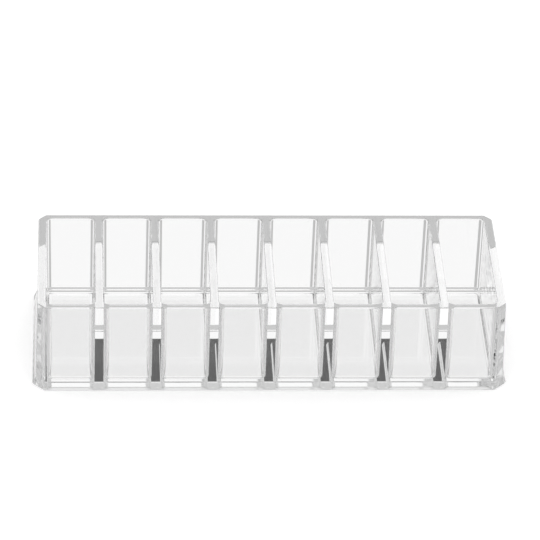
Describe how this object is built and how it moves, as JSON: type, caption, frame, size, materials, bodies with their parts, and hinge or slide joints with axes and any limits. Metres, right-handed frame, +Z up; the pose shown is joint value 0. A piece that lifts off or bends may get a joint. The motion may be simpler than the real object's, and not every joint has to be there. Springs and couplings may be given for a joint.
{
  "type": "vanity organizer",
  "caption": "Low clear plastic vanity organizer: a row of open upright wells between thick dividers, on a base with a bevelled skirt, for keeping compacts and palettes on edge.",
  "frame": {"origin": "underside of the base plate, at the middle of its length and depth", "axes": "+X along the row of wells, +Y from front to rear, +Z up; the front long wall faces -Y"},
  "size_m": [0.2276, 0.0866, 0.046],
  "materials": {
    "clear_plastic": "clear, polished, refractive index about 1.59"
  },
  "bodies": {
    "root": {"base_tray": "clear_plastic", "front_wall": "clear_plastic", "rear_wall": "clear_plastic", "left_end_wall": "clear_plastic", "right_end_wall": "clear_plastic", "divider_1": "clear_plastic", "divider_2": "clear_plastic", "divider_3": "clear_plastic", "divider_4": "clear_plastic", "divider_5": "clear_plastic", "divider_6": "clear_plastic", "divider_7": "clear_plastic"}
  },
  "joints": []
}
